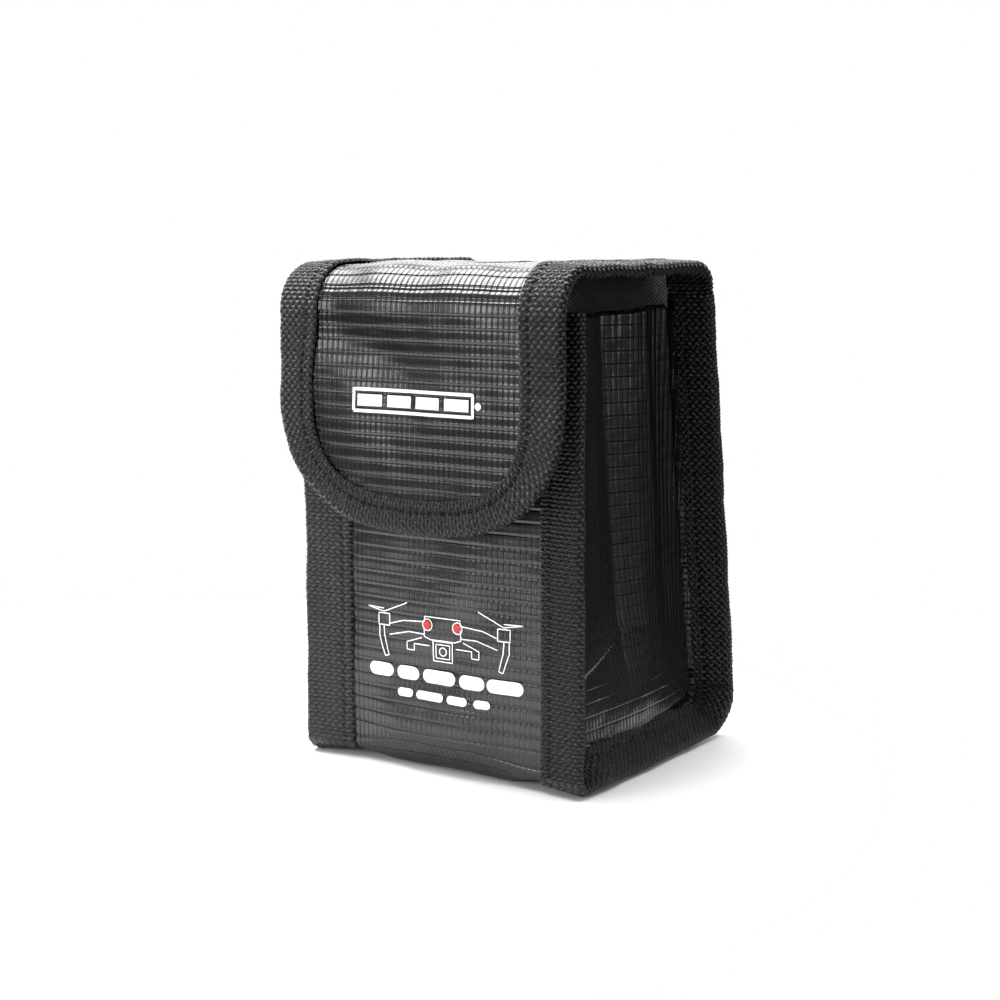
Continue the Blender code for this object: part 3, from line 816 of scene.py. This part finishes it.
def coated_cloth(name, colour, painted_groove_shade, roughness, rows, columns):
    """PVC-coated glass cloth, calendered: glossy black film over a woven grid that prints through it.

    Each row is a fine bright thread over a groove, and upright threads lie closer between them; the
    grooves and the upright lines are painted darker in the colour, as painted shade. The finest
    threads are drawn coarser than they are, so that they show.
    """
    made, tree, shader = new_material(name, colour, roughness)
    u, v = uv_axes(tree)
    groove = lines(tree, v, ROW_PITCH, 1.0, 0.34)
    ridge = lines(tree, v, ROW_PITCH, 0.5, 0.34)
    column = lines(tree, u, COLUMN_PITCH, 0.68, 0.26)
    fine = lines(tree, u, COLUMN_PITCH / 3, 0.1, 0.2)
    height = add(tree, MATH, TIMES_PLUS, [ridge, 0.035 * rows, 0.0])
    height = add(tree, MATH, TIMES_PLUS, [groove, -0.10 * rows, height])
    height = add(tree, MATH, TIMES_PLUS, [column, -0.07 * columns, height])
    height = add(tree, MATH, TIMES_PLUS, [fine, -0.012, height])
    upright = add(tree, MATH, TIMES, [column, min(0.55 * columns, 1)])
    # Painted shade: the grooves and upright lines are mixed towards the darker colour
    shade = add(tree, MATH, LARGER, [add(tree, MATH, TIMES, [groove, rows]), upright])
    dress(tree, shader, height, shade, colour, painted_groove_shade)
    return made


def woven_tape(name, colour, painted_gap_shade, roughness):
    """Polypropylene webbing in a coarse zigzag weave: rounded floats catch the light, and the gaps between
    them are painted near black as painted shade.
    """
    made, tree, shader = new_material(name, colour, roughness)
    along, across = uv_axes(tree)
    in_lanes = add(tree, MATH, {"operation": "DIVIDE"}, [along, FLOAT_WIDTH])
    lane = add(tree, MATH, {"operation": "FLOOR"}, [in_lanes])
    odd = add(tree, MATH, {"operation": "MODULO"}, [lane, 2.0])
    side = add(tree, MATH, LESS, [add(tree, MATH, LESS, [in_lanes, lane]), 0.5])
    lean = add(tree, MATH, TIMES_PLUS, [odd, 2 * FLOAT_LEAN, -FLOAT_LEAN])
    in_floats = add(tree, MATH, {"operation": "DIVIDE"}, [across, FLOAT_LENGTH])
    moved = add(tree, MATH, TIMES_PLUS, [odd, 0.5, in_floats])
    moved = add(tree, MATH, TIMES_PLUS, [lean, side, moved])
    place = add(tree, MATH, LESS, [add(tree, MATH, {"operation": "FRACT"}, [moved]), 0.5])
    arches = []
    for offset, fill in ((side, 2.0), (place, FLOAT_FILL)):
        away = add(tree, MATH, TIMES, [add(tree, MATH, SIZE_OF, [offset]), fill])
        arch = add(tree, MATH, LESS, [1.0, add(tree, MATH, SQUARED, [away, 2.0])])
        arches.append(add(tree, MATH, LARGER, [arch, 0.0]))
    float_height = add(tree, MATH, TIMES, arches)
    fibre = add(tree, MATH, TIMES, [lines(tree, along, 0.24, 0.0, 0.12), 0.02])
    height = add(tree, MATH, TIMES_PLUS, [float_height, 0.45, fibre])
    # Painted shade: the colour goes from the near-black gap colour between floats to the float colour on
    # their tops
    shade = add(tree, RANGE, {}, [float_height, 0.3, 0.9, 0.0, 1.0])
    dress(tree, shader, height, shade, painted_gap_shade, colour)
    return made


def lining_cloth(name, colour, painted_groove_shade):
    """Bare glass cloth, twill woven: pale grey and slightly silky, with a fine slanted rib whose grooves are
    painted darker as painted shade.
    """
    made, tree, shader = new_material(name, colour, 0.5)
    u, v = uv_axes(tree)
    slant = lines(tree, add(tree, MATH, ADDED, [u, v]), 1.1, 0.0, 0.35)
    other = lines(tree, add(tree, MATH, LESS, [u, v]), 1.1, 0.0, 0.35)
    # Painted shade: the rib's grooves are mixed towards the darker grey
    shade = add(tree, MATH, LARGER, [slant, other])
    dress(tree, shader, add(tree, MATH, LESS, [0.0, shade]), shade, colour, painted_groove_shade, 0.1 * MM)
    return made


def pad_nap(name, colour):
    """Nylon hook-and-loop tape: a matt, fuzzy pile, drawn coarse enough to show."""
    made, tree, shader = new_material(name, colour, 0.9)
    coordinates = add(tree, "ShaderNodeTexCoord", {})
    speck = add(tree, "ShaderNodeTexNoise", {}, {"Scale": 1.4 / MM, "Vector": coordinates.outputs["Object"]})
    bump = add(tree, "ShaderNodeBump", {}, {"Strength": 0.8, "Distance": 0.3 * MM, "Height": speck})
    tree.links.new(bump.outputs[0], shader.inputs["Normal"])
    return made


# The second colour of each coated cloth is painted shade in its grooves and upright lines
CLOTH = coated_cloth("coated_glass_cloth", "#1a1a1c", "#08080a", 0.22, 1.0, 1.2)
SIDE_CLOTH = coated_cloth("coated_gusset_cloth", "#161618", "#070708", 0.22, 0.3, 1.1)
# The tape's second colour is painted shade in the gaps between its floats
TAPE = woven_tape("woven_polypropylene_tape", "#222224", "#010101", 0.38)
# The lining's second colour is painted shade in its rib's grooves
LINING = lining_cloth("glass_cloth_lining", "#9a9a9c", "#58585a")
PAD = pad_nap("hook_and_loop_nap", "#151516")

# Screen-printing ink: a thin, smooth film of one flat colour with a slight sheen, raised above the weave
PRINT = new_material("screen_print_white", "#f6f6f6", 0.45)[0]
RED_PRINT = new_material("screen_print_red", "#c4180f", 0.45)[0]

# Wall strip: front, bottom and back in one length of cloth


def thinned(values, rows, columns, edge=0):
    """Every few rows and columns of a grid, without its first and last edge columns."""
    return values[::rows, edge : values.shape[1] - edge : columns]


def lining_piece(name, grid, uv):
    """The grey lining inside a cloth, over a thinned grid of its base surface."""
    return grid_piece(name, grid - grid_normals(grid) * LINING_DROP, uv, LINING, flip=True)


body = body_stations()
base, base_u, base_v = strip_grid(body, *body_middles())
base_uv = np.stack([base_u, base_v], -1)
wall_cloth = grid_piece("wall_cloth", dressed(base, base_u, base_v, 3), base_uv, CLOTH)
wall_lining = lining_piece("wall_lining", thinned(base, 4, 2, 7), thinned(base_uv, 4, 2, 7))
for obj, nodes in (
    (wall_cloth, ("front_panel", "bottom_panel", "back_panel")),
    (wall_lining, ("front_liner", "bottom_liner", "back_liner")),
):
    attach(obj, "bag")
    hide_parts(*nodes)

# Side gussets

plain, plain_u, plain_v = gusset_grid()
outer, outer_u, outer_v = rolled_top(*gusset_with_flange(plain, plain_u, plain_v, body), 11)
outer_uv = np.stack([outer_u, outer_v], -1)
inner = thinned(plain, 3, 3)
inner = inner - grid_normals(inner) * LINING_DROP
inner_uv = thinned(np.stack([plain_u, plain_v], -1), 3, 3)
for side, sign in (("right", 1), ("left", -1)):
    across = np.array((sign, 1.0, 1.0))
    cloth = grid_piece(f"{side}_gusset_cloth", outer * across, outer_uv, SIDE_CLOTH, flip=sign < 0)
    lining = grid_piece(f"{side}_gusset_lining", inner * across, inner_uv, LINING, flip=sign > 0)
    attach(cloth, "bag")
    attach(lining, "bag")
    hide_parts(f"{side}_gusset")
    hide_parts(f"{side}_gusset_liner")
    run = body if sign > 0 else mirrored(body)
    tape = tape_piece(f"{side}_seam_tape", run, 20 + sign, flip=sign < 0, starts=TAPE_STARTS[side])
    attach(tape, "bag")
    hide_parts(f"{side}_front_binding", f"{side}_bottom_binding", f"{side}_back_binding")

# Flap

rear = roof_stations(SPLIT_Y)
rear_middles = [(0, s[0][1], s[0][2]) for s in rear]
rear_base, rear_u, rear_v = strip_grid(rear, rear_middles, [FACE_PULL] * len(rear))
rear_uv = np.stack([rear_u, rear_v], -1)
roof_cloth = grid_piece("roof_cloth", dressed(rear_base, rear_u, rear_v, 5), rear_uv, CLOTH)
roof_lining = lining_piece("roof_lining", thinned(rear_base, 3, 2, 7), thinned(rear_uv, 3, 2, 7))
front_base, front_u, front_v = tongue_grid()
front_uv = np.stack([front_u, front_v], -1)
flap_seam = fold_stitching(front_u, front_v)
flap_outer = dressed(front_base, front_u, front_v, 8, waves=0.5, extra=flap_seam)
flap_cloth = grid_piece("flap_cloth", flap_outer, front_uv, CLOTH)
flap_lining = lining_piece("flap_lining", thinned(front_base, 4, 3, 2), thinned(front_uv, 4, 3, 2))
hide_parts("flap_top_panel")
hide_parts("flap_top_liner")
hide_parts("flap_front_panel")
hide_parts("flap_front_liner")

right_roof_tape = tape_piece("right_roof_tape", rear, 31)
left_roof_tape = tape_piece("left_roof_tape", mirrored(rear), 32, flip=True)
right_run = flap_stations(SPLIT_Y, False)
left_run = flap_stations(SPLIT_Y, True)
tip = (np.array((0.0, FLAP_Y, TIP_Z + 8.0)), -Z, 8.0)
flap_tape = tape_piece("flap_tape", right_run + [tip] + left_run[::-1], 33)
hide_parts("flap_right_binding")
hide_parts("flap_left_binding")
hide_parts("flap_edge_binding")

# The flap turns at the roof's rear corner and at its front fold; here the roof and flap pieces only have
# their places baked into their meshes
for obj in (roof_cloth, roof_lining, right_roof_tape, left_roof_tape):
    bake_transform(obj)
for obj in (flap_cloth, flap_lining, flap_tape):
    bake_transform(obj)

# Prints: line pictures and plain bars, laid on the cloth's outer face


def cloth_plane(obj, facing_y):
    """The outer face of a finished cloth piece near the plane y = facing_y, as points to lay a print on."""
    co = np.zeros(len(obj.data.vertices) * 3)
    obj.data.vertices.foreach_get("co", co)
    co = co.reshape(-1, 3) / MM
    near = co[np.abs(co[:, 1] - facing_y) < 3]
    cells = np.round(near[:, [0, 2]] / FACE_CELL).astype(int)
    order = np.lexsort((near[:, 1], cells[:, 1], cells[:, 0]))
    found = {}
    for k in order:
        found.setdefault(tuple(cells[k]), near[k, 1])
    return found


def lay(points, surface, fallback, lift):
    """Points (x, z) put just in front of the cloth."""
    made = []
    for x, z in points:
        key = (int(round(x / FACE_CELL)), int(round(z / FACE_CELL)))
        made.append((x, surface.get(key, fallback) - lift, z))
    return made


def ribbon(points, width):
    """A line of even width along points (x, z), as two rows of points."""
    points = np.array(points, float)
    fine = [points[0]]
    for a, b in zip(points, points[1:]):
        count = max(1, int(np.hypot(*(b - a)) / 0.5))
        fine += [a + (b - a) * k / count for k in range(1, count + 1)]
    fine = np.array(fine)
    ahead = unit(np.gradient(fine, axis=0))
    side = np.stack([-ahead[:, 1], ahead[:, 0]], axis=1) * width / 2
    return fine + side, fine - side


def print_piece(name, shapes, surface, fallback, finish, lift=INK_LIFT):
    """One mesh from lines (points, width) and filled shapes (outline, None)."""
    verts = []
    faces = []
    for points, width in shapes:
        start = len(verts)
        if width is None:
            verts += lay(points, surface, fallback, lift)
            faces.append(list(range(start, len(verts))))
            continue
        left, right = ribbon(points, width)
        verts += lay(np.concatenate([left, right]), surface, fallback, lift)
        count = len(left)
        for k in range(count - 1):
            faces.append([start + k, start + k + 1, start + count + k + 1, start + count + k])
    mesh = bpy.data.meshes.new(name)
    mesh.from_pydata([tuple(c * MM for c in v) for v in verts], [], faces)
    mesh.uv_layers.new(name="UVMap")
    mesh.materials.append(finish)
    mesh.update()
    for polygon in mesh.polygons:
        if polygon.normal.y > 0:
            polygon.flip()
    obj = bpy.data.objects.new(name, mesh)
    bpy.context.scene.collection.objects.link(obj)
    return obj


def bar(x, z, width, height):
    """A filled bar with rounded ends."""
    radius = height / 2
    made = []
    for way in (1, -1):
        for k in range(9):
            angle = -math.pi / 2 * way + math.pi * k / 8
            middle = x + (width / 2 - radius) * way
            made.append((middle + radius * math.cos(angle), z + radius * math.sin(angle)))
    return made, None


def ring_line(x, z, radius, width):
    angles = np.linspace(0, math.tau, 25)
    return [(x + radius * math.cos(a), z + radius * math.sin(a)) for a in angles], width


def box_corners(x, z, width, height):
    right = width / 2
    top = height / 2
    return [(x - right, z - top), (x + right, z - top), (x + right, z + top), (x - right, z + top)]


def box_line(x, z, width, height, line_width):
    corners = box_corners(x, z, width, height)
    return corners + corners[:1], line_width


def quadcopter():
    """A front view of a small camera drone in fine lines."""
    shapes = []
    for side in (-1, 1):
        shapes += [([(DRONE_X + side * x, z) for x, z in part], FINE_LINE) for part in DRONE_SIDE]
    shapes.append(([(DRONE_X + x, z) for x, z in DRONE_BODY], FINE_LINE))
    shapes += [box_line(DRONE_X, CAMERA_Z, wide, tall, FINE_LINE) for wide, tall in CAMERA_BOXES]
    shapes.append(ring_line(DRONE_X, CAMERA_Z, LENS_RING, FINE_LINE))
    return shapes + [ring_line(x, z, LAMP_RING, FINE_LINE) for x, z in LAMPS]


def battery_gauge():
    """A plain battery outline with four charge bars and a contact at its end."""
    shapes = [box_line(GAUGE_X, GAUGE_Z, *GAUGE_SIZE, GAUGE_LINE)]
    shapes.append(bar(CONTACT_X, GAUGE_Z, CONTACT_WIDTH, CONTACT_WIDTH))
    charge_x = [CHARGE_X + CHARGE_PITCH * k for k in range(4)]
    return shapes + [(box_corners(x, GAUGE_Z, *CHARGE_SIZE), None) for x in charge_x]


front_face = cloth_plane(wall_cloth, FRONT_Y - 1)
flap_face = cloth_plane(flap_cloth, FLAP_Y - 1)
labels = [bar(x, z, width, height) for z, height, bars in LABEL_ROWS for x, width in bars]
front_print = print_piece("front_print", quadcopter() + labels, front_face, FRONT_Y - 1.6, PRINT)
lamps = [bar(x, z, LAMP_WIDTH, LAMP_WIDTH) for x, z in LAMPS]
lamp_print = print_piece("lamp_print", lamps, front_face, FRONT_Y - 1.6, RED_PRINT, lift=LAMP_LIFT)
gauge_print = print_piece("gauge_print", battery_gauge(), flap_face, FLAP_Y - 0.7, PRINT)
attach(front_print, "bag")
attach(lamp_print, "bag")
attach(gauge_print, "flap_front")

# Mouth tape

mouth_x = np.linspace(MOUTH_TAPE_X, -MOUTH_TAPE_X, 20)
mouth = [(np.array((x, FRONT_Y, MOUTH - TAPE_WIDTH)), Z, TAPE_WIDTH) for x in mouth_x]
mouth_tape = tape_piece("mouth_tape", mouth, 41, flip=True)
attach(mouth_tape, "bag")
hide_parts("mouth_binding")

# Closing pads: hook tape inside the flap, loop tape on the front wall


def pad_piece(name, middle_y, body, node):
    """A rectangle of napped tape, its edges eased."""
    bpy.ops.object.select_all(action="DESELECT")
    bpy.ops.mesh.primitive_cube_add(size=MM, location=(0, middle_y * MM, PAD_MIDDLE * MM))
    obj = bpy.context.object
    obj.name = name
    obj.scale = (PAD_WIDTH, PAD_THICKNESS, PAD_HEIGHT)
    bpy.ops.object.transform_apply(location=True, rotation=True, scale=True)
    easing = obj.modifiers.new("easing", "BEVEL")
    easing.width = PAD_EASE * MM
    easing.segments = 3
    bpy.ops.object.modifier_apply(modifier=easing.name)
    bpy.ops.object.shade_smooth_by_angle(angle=math.radians(60))
    obj.data.materials.append(PAD)
    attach(obj, body)
    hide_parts(node)
    obj.select_set(False)


pad_piece("loop_pad", LOOP_Y, "bag", "loop_patch")
pad_piece("hook_pad", HOOK_Y, "flap_front", "hook_patch")

# Each side's gusset cloth and lining, looked up by name

for side in ("right", "left"):
    cloth = bpy.data.objects[f"{side}_gusset_cloth"]
    lining = bpy.data.objects[f"{side}_gusset_lining"]

# Stage

camera_data = bpy.data.cameras.new("camera")
camera_data.lens = LENS
camera_data.sensor_width = 36
camera_data.shift_x, camera_data.shift_y = LENS_SHIFT
camera_data.clip_start = 0.01
camera = bpy.data.objects.new("camera", camera_data)
camera.location = CAMERA_PLACE
camera.rotation_euler = (math.radians(CAMERA_TILT), 0, math.radians(CAMERA_TURN))
bpy.context.scene.collection.objects.link(camera)
bpy.context.scene.camera = camera

# White background paper: matt, so it catches the bag's soft shadow and nothing else
floor_finish = new_material("white_paper_floor", "#ffffff", 0.9)[0]
ring = np.linspace(0, math.tau, 97)[:-1]
floor_points = np.stack([np.cos(ring), np.sin(ring), 0 * ring], axis=-1) * FLOOR_RADIUS + (*FLOOR_MIDDLE, 0)
floor = mesh_piece("floor", floor_points, np.arange(len(ring))[None, :], floor_points[:, :2], floor_finish)


def soft_light(name, place, target, size, power):
    """An area light that faces its target."""
    data = bpy.data.lights.new(name, "AREA")
    data.shape = "RECTANGLE"
    data.size, data.size_y = size
    data.energy = power
    light = bpy.data.objects.new(name, data)
    way = np.array(target, float) - np.array(place, float)
    light.location = place
    light.rotation_euler = (math.atan2(math.hypot(way[0], way[1]), -way[2]), 0, math.atan2(-way[0], way[1]))
    bpy.context.scene.collection.objects.link(light)


for name, settings in LIGHTS.items():
    soft_light(name, *settings)

# Surroundings by direction: bright to the left, dim to the right but for a glow at its far end, dim
# below, and plain white where the camera looks past the bag
world = bpy.data.worlds.new("studio")
bpy.context.scene.world = world
world.use_nodes = True
tree = world.node_tree
background = tree.nodes["Background"]
ways = add(tree, "ShaderNodeTexCoord", {}).outputs["Generated"]
split = add(tree, "ShaderNodeSeparateXYZ", {}, [ways])
way_x = split.outputs[0]
way_z = split.outputs[2]
side = add(tree, RANGE, EASED, [way_x, -0.3, 0.15, 1.0, 0.2])
rise = add(tree, RANGE, EASED, [way_z, -0.3, 0.12, 0.07, 0.66])
glow = add(tree, RANGE, EASED, [way_x, 0.6, 0.97, 0.0, 0.5])
left = add(tree, RANGE, EASED, [way_x, -0.72, -0.52, 0.6, 1.08])
spread = add(tree, MATH, TIMES_PLUS, [side, left, glow])
fade = add(tree, MATH, TIMES, [spread, rise])
seen = add(tree, "ShaderNodeLightPath", {}).outputs["Is Camera Ray"]
level = add(tree, MATH, LARGER, [fade, seen])
tree.links.new(level.outputs[0], background.inputs["Strength"])
background.inputs["Color"].default_value = (1, 1, 1, 1)
bpy.context.scene.view_settings.view_transform = "Standard"
